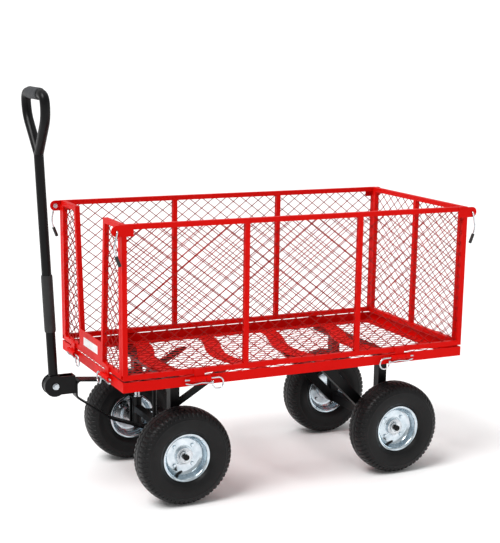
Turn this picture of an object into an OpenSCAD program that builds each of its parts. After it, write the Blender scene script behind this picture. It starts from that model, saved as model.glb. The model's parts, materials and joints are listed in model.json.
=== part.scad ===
// Garden cart: a steel mesh tray with four folding mesh panels, knuckle steering,
// four pneumatic wheels and a pull handle.
// The handle end is -X, the cart's left side is -Y and the ground is Z = 0.

/* [Tray] */
// Length of the tray frame
tray_l = 1010; // [800:10:1300]
// Width of the tray frame
tray_w = 500; // [400:10:640]
// Height of the tray frame's underside above the ground
tray_z = 329; // [310:1:400]
// Height of the frame's angle iron
frame_h = 26; // [24:1:40]
// Width of the frame's lower flange
flange_w = 30; // [22:1:40]
// Wall of the frame's angle iron
frame_t = 3; // [2:0.5:5]
// Thickness of the deck mesh
deck_t = 2; // [1.5:0.5:4]
// Long way of one deck mesh opening
deck_long = 60; // [40:5:90]
// Short way of one deck mesh opening
deck_short = 30; // [20:2:50]
// Width of a deck mesh strand
deck_strand = 3.5; // [2.5:0.5:7]
// Number of straps under the deck mesh
strap_count = 4; // [3:1:6]
// Width of a deck strap
strap_w = 48; // [30:2:70]
// Distance between the straps' middle lines
strap_pitch = 205; // [170:5:240]
// Sideways wave of a deck strap, from its middle line
strap_wave = 25; // [0:1:35]

/* [Folding panels] */
// Height of a folding panel
panel_h = 392; // [300:4:480]
// Gap under a closed panel
panel_gap = 5; // [2:0.5:8]
// Width and depth of a panel's square tubes
tube_w = 13; // [10:1:20]
// Wall of a panel's square tubes
tube_t = 1.5; // [1:0.5:3]
// Width of one diamond of the panel mesh
diamond_w = 41; // [30:1:70]
// Height of one diamond of the panel mesh
diamond_h = 31; // [20:1:50]
// Width of a panel mesh strand
mesh_strand = 3; // [2:0.5:5]
// Thickness of the panel mesh
mesh_t = 2.5; // [1.5:0.5:5]
// Half width of the handle notch at the top, to its posts' middle lines
notch_top = 119; // [100:1:150]
// Half width of the handle notch at the bottom, to its posts' middle lines
notch_bottom = 85; // [70:1:110]
// Height of the low plate that closes the bottom of the notch
low_plate_h = 50; // [36:1:70]
// Thickness of the low plate
low_plate_t = 2; // [1:0.5:4]
// Gap between a long panel and an end panel
corner_gap = 2; // [1:0.5:5]

/* [Hinges and latches] */
// Distance of a hinge line outside the tray frame
hinge_out = 8.5; // [7.5:0.5:14]
// Distance of a hinge line below the frame's top edge
hinge_down = 8; // [6:0.5:12]
// Outer diameter of a hinge knuckle
knuckle_d = 13; // [10:0.5:14]
// Length of a panel's hinge knuckle
knuckle_l = 28; // [20:1:40]
// Length of a frame's hinge knuckle
frame_knuckle_l = 14; // [10:1:20]
// Gap between hinge knuckles
knuckle_gap = 1; // [0.5:0.1:2]
// Wire diameter of a hinge clip
clip_d = 4.5; // [3:0.1:6]
// Loop radius of a hinge clip, to the wire's middle
clip_r = 15; // [11:0.5:20]
// Distance of a long side hinge from the end of the tray
side_hinge_in = 205; // [120:5:300]
// Distance of an end hinge from the cart's middle plane
end_hinge_y = 140; // [110:5:170]
// Radius of a latch ear's round end
ear_r = 14; // [11:0.5:18]
// Distance of a latch hook's pivot beyond the end of the tray
ear_out = 13; // [10:1:30]
// Thickness of a latch ear
ear_t = 3; // [2:0.5:5]
// Wire diameter of a latch hook
hook_d = 5; // [3:0.5:7]
// Outer diameter of the washer that keeps a hook in its ear
hook_washer_d = 13; // [10:0.5:18]
// Diameter of the vinyl sleeve on a hook
hook_sleeve_d = 9; // [8:0.5:12]

/* [Wheels] */
// Outer diameter of a tyre
tyre_d = 260; // [230:5:300]
// Width of a tyre
tyre_w = 84; // [70:2:100]
// Diameter over a rim's flanges
rim_d = 130; // [110:2:160]
// Width over a rim's flanges
rim_w = 60; // [50:1:68]
// Diameter of the axles
axle_d = 16; // [12:0.5:20]
// Outer diameter of a wheel hub
hub_d = 46; // [40:1:54]
// Length of a wheel hub
hub_l = 28; // [24:1:40]
// Gap between a tyre and the tray's outer face, seen from above
tyre_inset = 4; // [0:1:12]
// Distance of the front axle from the front end of the tray
front_axle_in = 180; // [160:5:260]
// Distance of the rear axle from the rear end of the tray
rear_axle_in = 187; // [160:5:260]

/* [Running gear] */
// Outside width of the posts and rear braces
post_w = 26; // [20:1:30]
// Wall of the posts and rear braces
post_t = 2.5; // [1.5:0.5:4]
// Outside width of the front braces
front_brace_w = 14; // [10:1:20]
// Thickness of the cross members under the tray
cross_h = 8; // [6:1:16]
// Width of the cross members under the tray
cross_w = 60; // [44:2:80]
// Gap between a kingpin's axis and the tyre's inner side
kingpin_gap = 26; // [24:1:34]
// Diameter of the kingpins and of the steering pin
kingpin_d = 12; // [8:0.5:14]
// Outer diameter of the kingpin bosses
boss_d = 26; // [20:1:28]
// Thickness of the knuckle plates and steering arms
plate_t = 5; // [4:0.5:8]
// Length of a steering arm, from pin to pin
arm_l = 60; // [50:1:80]
// Width of a steering arm
arm_w = 20; // [14:1:24]
// Height of the steering arms above the axles
arm_up = 20; // [16:1:26]
// Height of the front beam
beam_h = 18; // [14:1:26]
// Width of the front beam
beam_w = 22; // [16:1:26]
// Diameter of the tie rod pins
link_pin_d = 8; // [6:0.5:10]

/* [Drawbar and handle] */
// Width of the drawbar strap
strip_w = 36; // [26:1:46]
// Thickness of the drawbar strap
strip_t = 5; // [4:0.5:8]
// Distance of the handle pivot in front of the tray
pivot_out = 103; // [100:1:160]
// Height of the handle pivot above the ground
pivot_z = 298; // [260:2:320]
// Radius of the clevis ears
clevis_r = 28.5; // [26:0.5:36]
// Height of the clevis block
clevis_h = 48; // [40:1:52]
// Distance from the pivot to the clevis's back
clevis_l = 55; // [50:1:80]
// Distance between the clevis ears
clevis_in = 22; // [18:1:50]
// Thickness of the clevis ears
clevis_t = 5; // [4:0.5:8]
// Diameter of the pivot bolt
pivot_d = 10; // [8:0.5:14]
// Outer diameter of the handle tube
handle_d = 25; // [18:1:26]
// Forward lean of the standing handle, in degrees
handle_lean = 2.4; // [0:0.1:6]
// Distance from the pivot to the start of the hand loop
loop_start = 612; // [400:2:760]
// Distance from the pivot to the grip's middle line
grip_reach = 757; // [560:2:900]
// Width of the hand loop, between its legs' middle lines
loop_w = 166; // [140:2:200]
// Outer diameter of the grip
grip_d = 31; // [28:1:36]
// Length of the grip
grip_l = 92; // [60:2:96]
// Outer diameter of the sleeve on the handle tube
sleeve_d = 30; // [28:1:36]
// Length of the sleeve
sleeve_l = 150; // [100:5:220]
// Distance from the pivot to the sleeve
sleeve_start = 145; // [100:5:200]

/* [Hidden] */
// fits and small clearances
run_fit = 0.05;
slip_fit = 0.3;
face_gap = 0.5;
ball_extra = 0.2;
// sizes that follow from the ones above
end_x = tray_l / 2;
side_y = tray_w / 2;
tray_top = tray_z + frame_h;
deck_z = tray_z + frame_t;
axle_z = tyre_d / 2;
wheel_y = side_y - tyre_w / 2 - tyre_inset;
king_y = -(wheel_y - tyre_w / 2 - kingpin_gap);
front_x = -end_x + front_axle_in;
rear_x = end_x - rear_axle_in;
cross_z = tray_z - cross_h;
hinge_z = tray_top - hinge_down;
panel_z = tray_top + panel_gap;
end_panel_y = side_y - tube_w - corner_gap;
pivot_x = -end_x - pivot_out;
latch_x = end_x + ear_out;
latch_z = panel_z + panel_h - ear_r - 1;
hook_y = side_y + ear_t + hook_d / 2 + 1;
// the row's origin is under the middle of the whole cart, from the loop's grip to the latch ears
grip_x = pivot_x - grip_reach * sin(handle_lean) - grip_d / 2;
origin_x = -(grip_x + latch_x + ear_r) / 2;
// steering levels, from the steering arms upwards
arm_z = axle_z + arm_up;
beam_z = arm_z + plate_t + 1;
ear_low = axle_z - axle_d / 2 - 4;
ear_high = beam_z + beam_h + 21;
post_end = ear_high + plate_t + 21;
pin_head_h = 8;
washer_t = 3;
top_eye_z = post_end + 66;
fn_round = 48;
fn_ball = 32;

// ---- general shapes ----

module place() translate([origin_x, 0, 0]) children();

module left_right() {
    children();
    mirror([0, 1, 0]) children();
}

module box(low, high) translate(low) cube(high - low);

// a cylinder along Y, from y0 to y1
module bar_y(x, z, d, y0, y1) {
    translate([x, y1, z]) rotate([90, 0, 0]) cylinder(d = d, h = y1 - y0, $fn = fn_round);
}

// a cylinder along X, from x0 to x1
module bar_x(y, z, d, x0, x1) {
    translate([x0, y, z]) rotate([0, 90, 0]) cylinder(d = d, h = x1 - x0, $fn = fn_round);
}

// an outline in X and Z, given a thickness in Y that is centred on y
module plate_xz(y, t) translate([0, y + t / 2, 0]) rotate([90, 0, 0]) linear_extrude(t) children();

// a round wire through a list of points, with a ball at each corner
module wire(points, d) {
    for (i = [0 : len(points) - 2]) {
        run = points[i + 1] - points[i];
        flat = norm([run.x, run.y]);
        translate(points[i]) rotate([0, atan2(flat, run.z), atan2(run.y, run.x)])
            cylinder(d = d, h = norm(run), $fn = fn_ball);
    }
    if (len(points) > 2) for (i = [1 : len(points) - 2])
        translate(points[i]) sphere(d = d + ball_extra, $fn = fn_ball);
}

// a square tube between two points of one vertical plane along X
module tube_xz(from, to, y, w, t) {
    run = to - from;
    translate([from.x, y, from.y]) rotate([0, 90 - atan2(run.y, run.x), 0])
        difference() {
            translate([-w / 2, -w / 2, 0]) cube([w, w, norm(run)]);
            translate([-w / 2 + t, -w / 2 + t, -1]) cube([w - 2 * t, w - 2 * t, norm(run) + 2]);
        }
}

// the outline of a strip of thickness t whose middle line runs through the points
function heading(p, i) = let (
        a = p[max(i - 1, 0)],
        b = p[i],
        c = p[min(i + 1, len(p) - 1)],
        u = i == 0 ? c - b : b - a,
        v = i == len(p) - 1 ? b - a : c - b,
        m = u / norm(u) + v / norm(v)
    ) m / norm(m);
function bend(p, i) = (i == 0 || i == len(p) - 1) ? 1 :
    let (u = p[i] - p[i - 1], v = heading(p, i)) (u * v) / norm(u);
function side_point(p, i, s) = let (h = heading(p, i)) p[i] + [-h.y, h.x] * s / bend(p, i);
function strip_outline(p, t) = concat(
    [for (i = [0 : len(p) - 1]) side_point(p, i, t / 2)],
    [for (i = [len(p) - 1 : -1 : 0]) side_point(p, i, -t / 2)]);

function arc(centre, r, a0, a1, n) =
    [for (i = [0 : n]) let (a = a0 + (a1 - a0) * i / n) centre + r * [cos(a), sin(a)]];

// ---- diamond mesh ----

// half width of an outline at height v, for one that tapers in straight lines
function span(low, high, v, h) = low + (high - low) * v / h;

// one sheet between two slanting edges: u runs from low edge to high edge, v from 0 to h
module diamond_sheet(edges, h, cell_w, cell_h, strand) {
    u_low = min(edges[0]);
    u_high = max(edges[1]);
    rows = floor(h / cell_h * 2);
    columns = floor((u_high - u_low) / cell_w);
    half_w = cell_w / 2 - strand * 0.75;
    half_h = cell_h / 2 - strand * 0.5;
    outline = [[edges[0][0], 0], [edges[1][0], 0], [edges[1][1], h], [edges[0][1], h]];
    centres = [for (r = [1 : rows - 1]) for (c = [0 : columns])
        let (
            u = (u_low + u_high) / 2 + (c - columns / 2 + (r % 2) / 2) * cell_w,
            v = h / 2 + (r - rows / 2) * cell_h / 2,
            left = span(edges[0][0], edges[0][1], v, h) + strand,
            right = span(edges[1][0], edges[1][1], v, h) - strand
        )
        if (u - cell_w / 2 > left && u + cell_w / 2 < right
            && v > cell_h / 2 && v < h - cell_h / 2) [u, v]];
    corners = [for (c = centres) for (d = [[half_w, 0], [0, half_h], [-half_w, 0], [0, -half_h]])
        c + d];
    holes = [for (i = [0 : len(centres) - 1]) [for (k = [0 : 3]) 4 + 4 * i + k]];
    polygon(concat(outline, corners), concat([[0, 1, 2, 3]], holes));
}

// ---- tray ----

module base_frame() place() color("red") difference() {
    box([-end_x, -side_y, tray_z], [end_x, side_y, tray_top]);
    box([-end_x + frame_t, -side_y + frame_t, deck_z],
        [end_x - frame_t, side_y - frame_t, tray_top + 1]);
    box([-end_x + flange_w, -side_y + flange_w, tray_z - 1],
        [end_x - flange_w, side_y - flange_w, deck_z + 1]);
}

module deck_mesh() place() color("indianred") {
    sheet_l = (tray_l - 2 * frame_t - 2) / 3;
    inner_y = side_y - frame_t - 1;
    for (i = [-1, 0, 1]) {
        half = sheet_l / 2 - face_gap;
        translate([i * sheet_l, -inner_y, deck_z]) linear_extrude(deck_t)
            diamond_sheet([[-half, -half], [half, half]], 2 * inner_y, deck_long, deck_short, deck_strand);
    }
}

// the straps snake from side to side in one full wave, flush with the frame's flange
module deck_straps() place() color("firebrick") {
    inner_y = side_y - flange_w;
    steps = 24;
    line = [for (i = [0 : steps]) let (f = i / steps)
        [strap_wave * cos(360 * f), inner_y * (1 - 2 * f)]];
    for (i = [0 : strap_count - 1]) translate([(i - (strap_count - 1) / 2) * strap_pitch, 0, tray_z])
        linear_extrude(frame_t) intersection() {
            polygon(strip_outline(line, strap_w));
            square([strap_pitch, 2 * inner_y], center = true);
        }
}

module cross_members() place() color([0.1, 0.1, 0.1]) for (x = [front_x, rear_x]) {
    inner_y = side_y - flange_w + 5;
    difference() {
        box([x - cross_w / 2, -inner_y, cross_z], [x + cross_w / 2, inner_y, tray_z]);
        if (x == front_x) translate([x, 0, cross_z - 1])
            cylinder(d = kingpin_d + 2 * slip_fit, h = cross_h + 2, $fn = fn_round);
    }
}

// ---- hinges ----

// children are drawn for each hinge, at its middle, with the hinge line along X and outside at -Y
module each_hinge(side) {
    if (side == "left" || side == "right") for (s = [-1, 1])
        mirror([0, side == "right" ? 1 : 0, 0])
            translate([s * (end_x - side_hinge_in), -side_y - hinge_out, hinge_z])
                mirror([s > 0 ? 1 : 0, 0, 0]) children();
    else for (s = [-1, 1])
        mirror([side == "rear" ? 1 : 0, 0, 0])
            translate([-end_x - hinge_out, s * end_hinge_y, hinge_z]) rotate([0, 0, -90])
                mirror([s < 0 ? 1 : 0, 0, 0]) children();
}

sides = ["left", "right", "front", "rear"];
lug_from = knuckle_l / 2 + knuckle_gap;
clip_hole = clip_d + 2 * slip_fit;

module hinge_lugs() place() color("firebrick") for (side = sides) each_hinge(side)
    for (s = [0, 1]) mirror([s, 0, 0]) difference() {
        union() {
            bar_x(0, 0, knuckle_d, lug_from, lug_from + frame_knuckle_l);
            box([lug_from, 0, -knuckle_d / 2 + 1], [lug_from + frame_knuckle_l, hinge_out, 2]);
        }
        bar_x(0, 0, clip_hole, lug_from - 1, lug_from + frame_knuckle_l + 1);
    }

// a panel's own knuckles, each on a strap that is welded to the panel's outer face
module panel_knuckles(side) each_hinge(side) difference() {
    strap_y = 4;
    rise = hinge_down + panel_gap;
    union() {
        bar_x(0, 0, knuckle_d, -knuckle_l / 2, knuckle_l / 2);
        box([-knuckle_l / 2, hinge_out - strap_y - 1, 0],
            [knuckle_l / 2, hinge_out - 1, rise + 1]);
        box([-knuckle_l / 2, hinge_out - strap_y - 1, rise],
            [knuckle_l / 2, hinge_out, rise + tube_w]);
    }
    bar_x(0, 0, clip_hole, -knuckle_l / 2 - 1, knuckle_l / 2 + 1);
}

// spring hairpins: a straight leg through the knuckles, a round loop and a bent leg outside
module hinge_clips() place() color("silver") for (side = sides) each_hinge(side) {
    leg = lug_from + frame_knuckle_l + 6;
    under = knuckle_d / 2 + clip_d / 2 + 1.5;
    wire([[-leg - 2, 0, 0], [leg + clip_r, 0, 0]], clip_d);
    translate([leg + clip_r, 0, -clip_r]) rotate([90, 0, 0])
        rotate_extrude(angle = -300, start = 90, $fn = fn_round)
            translate([clip_r, 0]) circle(d = clip_d, $fn = fn_ball);
    loop_end = [leg + clip_r + clip_r * cos(150), 0, -clip_r + clip_r * sin(150)];
    translate(loop_end) sphere(d = clip_d + ball_extra, $fn = fn_ball);
    wire([loop_end, [leg - 6, 0, -under - 4], [-6, 0, -under], [-leg + 8, 0, -under - 5],
        [-leg - 2, 0, -under - 1]], clip_d);
}

// ---- running gear that is fixed to the tray ----

// each post stands on its knuckle and meets the cross member through a spacer
spacer_h = 8;
module front_posts() place() color([0.1, 0.1, 0.1]) left_right() {
    half = post_w / 2;
    foot_t = 5;
    high = cross_z - spacer_h;
    difference() {
        box([front_x - half, king_y - half, post_end], [front_x + half, king_y + half, high]);
        box([front_x - half + post_t, king_y - half + post_t, post_end + foot_t],
            [front_x + half - post_t, king_y + half - post_t, high + 1]);
        translate([front_x, king_y, post_end - 1])
            cylinder(d = kingpin_d + 2 * slip_fit, h = foot_t + 2, $fn = fn_round);
    }
}

module front_braces() place() color([0.1, 0.1, 0.1]) left_right() {
    low = [front_x + post_w / 2, post_end + 32];
    high = [low.x + (cross_z + cross_h - low.y) / tan(31), cross_z + cross_h];
    difference() {
        tube_xz(low - [20, 12], high + [20, 12], king_y, front_brace_w, post_t);
        box([low.x - 60, king_y - front_brace_w, low.y - 60],
            [low.x, king_y + front_brace_w, tray_z + 60]);
        box([low.x - 1, king_y - front_brace_w, cross_z],
            [front_x + cross_w / 2, king_y + front_brace_w, tray_z + 1]);
        box([low.x - 1, king_y - front_brace_w, tray_z],
            [high.x + 90, king_y + front_brace_w, tray_z + 60]);
    }
}

// a beam between the two kingpin bosses, with the steering pin's hole in its middle
module front_beam() place() color([0.1, 0.1, 0.1]) {
    boss_low = ear_low + plate_t + face_gap;
    difference() {
        union() {
            box([front_x - beam_w / 2, king_y, beam_z],
                [front_x + beam_w / 2, -king_y, beam_z + beam_h]);
            for (s = [-1, 1]) translate([front_x, s * king_y, boss_low])
                cylinder(d = boss_d, h = ear_high - face_gap - boss_low, $fn = fn_round);
        }
        for (s = [-1, 1]) translate([front_x, s * king_y, boss_low - 1])
            cylinder(d = kingpin_d + 2 * slip_fit, h = ear_high - boss_low + 2, $fn = fn_round);
        translate([front_x, 0, beam_z - 1])
            cylinder(d = kingpin_d + 2 * slip_fit, h = beam_h + 2, $fn = fn_round);
    }
}

// a headed pin: z0 and z1 are its lower and its upper end
module king_bolt(y, z0, z1) translate([front_x, y, z0]) {
    cylinder(d = kingpin_d + 10, h = pin_head_h, $fn = 6);
    translate([0, 0, pin_head_h]) cylinder(d = kingpin_d, h = z1 - z0 - pin_head_h, $fn = fn_round);
}

module kingpins() place() color([0.1, 0.1, 0.1]) {
    left_right() king_bolt(king_y, ear_low - face_gap - pin_head_h, post_end + 16);
    king_bolt(0, arm_z - face_gap - pin_head_h, cross_z + cross_h - 2);
}

// a collar under each front post and a spacer on its upper end
module king_washers() place() color("silver") left_right() {
    collar_z = ear_high + plate_t + face_gap;
    translate([front_x, king_y, collar_z]) difference() {
        union() {
            cylinder(d = kingpin_d + 12, h = washer_t, $fn = fn_round);
            cylinder(d = kingpin_d + 5, h = post_end - collar_z, $fn = fn_round);
        }
        translate([0, 0, -1]) cylinder(d = kingpin_d, h = post_end - collar_z + 2, $fn = fn_round);
    }
    translate([front_x, king_y, cross_z - spacer_h]) difference() {
        cylinder(d = post_w, h = spacer_h, $fn = fn_round);
        translate([0, 0, -1]) cylinder(d = kingpin_d, h = spacer_h + 2, $fn = fn_round);
    }
}

module rear_posts() place() color([0.1, 0.1, 0.1]) left_right() {
    set_x = rear_x - 6;
    half = post_w / 2;
    top_of_axle = axle_z + post_w / 2;
    difference() {
        box([set_x - half, king_y - half, top_of_axle], [set_x + half, king_y + half, cross_z]);
        box([set_x - half + post_t, king_y - half + post_t, top_of_axle - 1],
            [set_x + half - post_t, king_y + half - post_t, cross_z + 1]);
    }
}

module rear_braces() place() color([0.1, 0.1, 0.1]) left_right() {
    foot = [rear_x - post_w / 2, axle_z];
    high = [foot.x - (tray_z - foot.y), tray_z];
    face_x = rear_x - 6 - post_w / 2;
    difference() {
        tube_xz(foot + [30, -30], high + [-20, 20], king_y, post_w, post_t);
        box([face_x, king_y - post_w, axle_z + post_w / 2], [rear_x + 90, king_y + post_w, tray_z]);
        box([rear_x - post_w / 2, king_y - post_w, axle_z - 90],
            [rear_x + 90, king_y + post_w, axle_z + post_w]);
        box([high.x - 90, king_y - post_w, tray_z], [rear_x, king_y + post_w, tray_z + 90]);
        box([high.x - 90, king_y - post_w, axle_z - 90],
            [rear_x + 1, king_y + post_w, axle_z - post_w / 2]);
        box([rear_x - cross_w / 2, king_y - post_w, cross_z],
            [rear_x + cross_w / 2, king_y + post_w, tray_z + 1]);
    }
}

axle_end = wheel_y + hub_l / 2 + 12;
cotter_d = 3;
cotter_y = axle_end - 5;
hub_from = wheel_y - hub_l / 2 - face_gap;

// a wheel's axle with its cotter hole, at the -Y side, from the outer end to y1
module stub(x, y1) difference() {
    bar_y(x, axle_z, axle_d, -axle_end, y1);
    translate([x, -cotter_y, axle_z]) cylinder(d = cotter_d, h = axle_d + 2, center = true, $fn = fn_ball);
}

// a square axle tube with a round stub and a collar at each end
module rear_axle() place() color([0.1, 0.1, 0.1]) {
    half = post_w / 2;
    tube_end = -king_y + post_w / 2 + 2;
    box([rear_x - half, -tube_end, axle_z - half], [rear_x + half, tube_end, axle_z + half]);
    left_right() {
        bar_y(rear_x, axle_z, axle_d + 10, -hub_from, -tube_end);
        stub(rear_x, -tube_end);
    }
}

// a washer and a cotter pin on a wheel's axle end, at the -Y side
module retainer(x) {
    start = wheel_y + hub_l / 2 + face_gap;
    difference() {
        bar_y(x, axle_z, axle_d + 14, -start - washer_t, -start);
        bar_y(x, axle_z, axle_d, -axle_end, -start + 1);
    }
    translate([x, -cotter_y, axle_z]) cylinder(d = cotter_d, h = axle_d + 12, center = true, $fn = fn_ball);
}

module rear_retainers() place() color("silver") left_right() retainer(rear_x);

// ---- steering ----

// a C-shaped knuckle at the -Y side: two ears on the kingpin, a plate, an arm and the stub axle
module knuckle() color([0.1, 0.1, 0.1]) {
    plate_y = king_y - boss_d / 2 - 4;
    ear_w = 30;
    bore = kingpin_d + 2 * run_fit;
    difference() {
        union() {
            box([front_x - ear_w / 2, plate_y - plate_t, ear_low],
                [front_x + ear_w / 2, plate_y, ear_high + plate_t]);
            for (z = [ear_low, ear_high]) {
                translate([front_x, king_y, z]) cylinder(d = ear_w, h = plate_t, $fn = fn_round);
                box([front_x - ear_w / 2, plate_y - 1, z], [front_x + ear_w / 2, king_y, z + plate_t]);
            }
            translate([0, 0, arm_z]) linear_extrude(plate_t) polygon([
                [front_x + 5, plate_y - plate_t],
                [front_x + ear_w / 2, plate_y - plate_t],
                [front_x + arm_l, king_y - arm_w / 2 + 1],
                [front_x + arm_l - 2, king_y + arm_w / 2 - 1],
                [front_x + 5, plate_y - 1]]);
            translate([front_x + arm_l, king_y, arm_z]) cylinder(d = arm_w, h = plate_t, $fn = fn_round);
            bar_y(front_x, axle_z, axle_d + 10, -hub_from, plate_y - plate_t + 1);
            stub(front_x, plate_y - plate_t + 1);
        }
        translate([front_x, king_y, ear_low - 1])
            cylinder(d = bore, h = ear_high - ear_low + plate_t + 2, $fn = fn_round);
        translate([front_x + arm_l, king_y, arm_z - 1])
            cylinder(d = link_pin_d + 2 * run_fit, h = plate_t + 2, $fn = fn_round);
    }
}

module knuckle_left() place() knuckle();
module knuckle_right() place() mirror([0, 1, 0]) knuckle();
module retainer_left() place() color("silver") retainer(front_x);
module retainer_right() place() color("silver") mirror([0, 1, 0]) retainer(front_x);

// a flat bar over the two steering arms and the drawbar's tail, with its three pins
module tie_rod() place() color([0.1, 0.1, 0.1]) {
    x = front_x + arm_l;
    z = arm_z + plate_t + face_gap;
    difference() {
        union() {
            box([x - arm_w / 2, king_y, z], [x + arm_w / 2, -king_y, z + plate_t]);
            for (s = [-1, 1]) translate([x, s * king_y, z])
                cylinder(d = arm_w, h = plate_t, $fn = fn_round);
        }
        for (y = [king_y, 0, -king_y]) translate([x, y, z - 1])
            cylinder(d = link_pin_d, h = plate_t + 2, $fn = fn_round);
    }
    for (y = [king_y, 0, -king_y]) {
        translate([x, y, arm_z - 5]) cylinder(d = link_pin_d, h = z + plate_t - arm_z + 5, $fn = fn_round);
        translate([x, y, arm_z - 5 - face_gap]) cylinder(d = link_pin_d + 6, h = 5, $fn = fn_round);
        translate([x, y, z + plate_t]) cylinder(d = link_pin_d + 6, h = 4, $fn = fn_round);
    }
}

// the strap's middle line, from the eye over the steering pin round to the tail under the beam
corner_r = 12;
clevis_back = pivot_x + clevis_l;
face_x = clevis_back + strip_t / 2;
top_rise = 20;
tail_z = arm_z + strip_t / 2;
strip_line = concat(
    [[front_x + 20, top_eye_z], [front_x - 20, top_eye_z]],
    arc([face_x + corner_r, top_eye_z + top_rise - corner_r], corner_r, 96, 180, 5),
    arc([face_x + corner_r + 4, pivot_z - clevis_h / 2 - corner_r + 8], corner_r + 4, 180, 236, 5),
    [[front_x - 125, tail_z + 36], [front_x - 78, tail_z + 18], [front_x - 34, tail_z],
     [front_x + arm_l + arm_w / 2, tail_z]]);

module drawbar_strap() place() color([0.1, 0.1, 0.1]) difference() {
    plate_xz(0, strip_w) polygon(strip_outline(strip_line, strip_t));
    translate([front_x, 0, arm_z - 10])
        cylinder(d = kingpin_d + 2 * run_fit, h = tray_z - arm_z, $fn = fn_round);
    translate([front_x + arm_l, 0, arm_z - 10])
        cylinder(d = link_pin_d + 2 * run_fit, h = 20, $fn = fn_round);
}

// two ears and a back plate in one block
module handle_clevis() place() color([0.1, 0.1, 0.1]) {
    low = pivot_z - clevis_h / 2;
    high = pivot_z + clevis_h / 2;
    for (s = [-1, 1]) plate_xz(s * (clevis_in + clevis_t) / 2, clevis_t) difference() {
        union() {
            translate([pivot_x, pivot_z]) circle(r = clevis_r, $fn = fn_round);
            translate([pivot_x, low]) square([clevis_back - pivot_x, clevis_h]);
        }
        translate([pivot_x, pivot_z]) circle(d = pivot_d + 2 * slip_fit, $fn = fn_round);
    }
    box([clevis_back - clevis_t, -clevis_in / 2, low], [clevis_back, clevis_in / 2, high]);
}

// a hex head, a shank and a nut
module pivot_bolt() place() color("silver") {
    outer = clevis_in / 2 + clevis_t;
    bar_y(pivot_x, pivot_z, pivot_d, -outer, outer);
    for (s = [-1, 1]) {
        translate([pivot_x, s * (outer + 2), pivot_z]) rotate([90, 0, 0])
            cylinder(d = pivot_d + 7, h = 4, center = true, $fn = fn_round);
        translate([pivot_x, s * (outer + 7), pivot_z]) rotate([90, 0, 0])
            cylinder(d = pivot_d + 5, h = 6, center = true, $fn = 6);
    }
}

// ---- handle, drawn standing on its pivot and then leant forward ----

tube_foot = clevis_r + 1.5;
module leant() place() translate([pivot_x, 0, pivot_z]) rotate([0, -handle_lean, 0]) children();

// a disc between the clevis ears, with a neck that carries the tube
module handle_hub() leant() color([0.1, 0.1, 0.1]) difference() {
    width = clevis_in - 2 * face_gap;
    union() {
        bar_y(0, 0, 2 * clevis_r - 3, -width / 2, width / 2);
        box([-handle_d / 2 + 1, -width / 2, 0], [handle_d / 2 - 1, width / 2, tube_foot]);
    }
    bar_y(0, 0, pivot_d + 2 * run_fit, -width, width);
}

loop_bend = 32;
loop_rise = 62;
// one side of the loop from its foot to the grip; the other side mirrors it
loop_side = [[0, 0, loop_start], [0, loop_w / 2, grip_reach - loop_rise],
    [0, loop_w / 2, grip_reach - loop_bend], [0, loop_w / 2 - loop_bend, grip_reach]];
loop_points = concat(loop_side, [for (i = [3 : -1 : 0]) [0, -loop_side[i].y, loop_side[i].z]]);

// the straight tube, and the loop above it
module tube_loop(d) {
    wire([[0, 0, tube_foot], loop_points[0]], d);
    translate(loop_points[0]) sphere(d = d + ball_extra, $fn = fn_ball);
    wire(loop_points, d);
}

module handle_tube() leant() color([0.15, 0.15, 0.15]) {
    tube_loop(handle_d);
}

module handle_sleeve() leant() color([0.2, 0.2, 0.2]) translate([0, 0, sleeve_start]) difference() {
    cylinder(d = sleeve_d, h = sleeve_l, $fn = fn_round);
    translate([0, 0, -1]) cylinder(d = handle_d + 0.2, h = sleeve_l + 2, $fn = fn_round);
}

module handle_grip() leant() color([0.3, 0.3, 0.3]) difference() {
    bar_y(0, grip_reach, grip_d, -grip_l / 2, grip_l / 2);
    bar_y(0, grip_reach, handle_d + 0.2, -grip_l, grip_l);
}

// ---- wheels, drawn round the origin with the axle along Y and the outer side at -Y ----

module wheel_at(x, side) place() translate([x, side * wheel_y, axle_z])
    mirror([0, side > 0 ? 1 : 0, 0]) rotate([90, 0, 0]) children();

// half profile of a hollow tyre: radius against distance from the middle plane
module tyre() color([0.08, 0.08, 0.08]) rotate_extrude($fn = 96) {
    crown = tyre_d / 2;
    half = tyre_w / 2;
    bead = rim_d / 2 - 5;
    outer = [[bead, rim_w / 2 - 8], [rim_d / 2 + 0.5, rim_w / 2 - 3], [rim_d / 2 + 6, rim_w / 2 + 3],
        [crown - 46, half - 2], [crown - 32, half], [crown - 17, half - 2], [crown - 6, half - 9],
        [crown, half - 24]];
    inner = [[bead, rim_w / 2 - 16], [rim_d / 2 + 4, rim_w / 2 - 11], [rim_d / 2 + 9, rim_w / 2 - 5],
        [crown - 46, half - 10], [crown - 33, half - 9], [crown - 22, half - 11], [crown - 13, half - 17],
        [crown - 9, half - 27]];
    polygon(concat(
        outer, [for (i = [len(outer) - 1 : -1 : 0]) [outer[i].x, -outer[i].y]],
        [for (p = inner) [p.x, -p.y]], [for (i = [len(inner) - 1 : -1 : 0]) inner[i]]));
}

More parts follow.
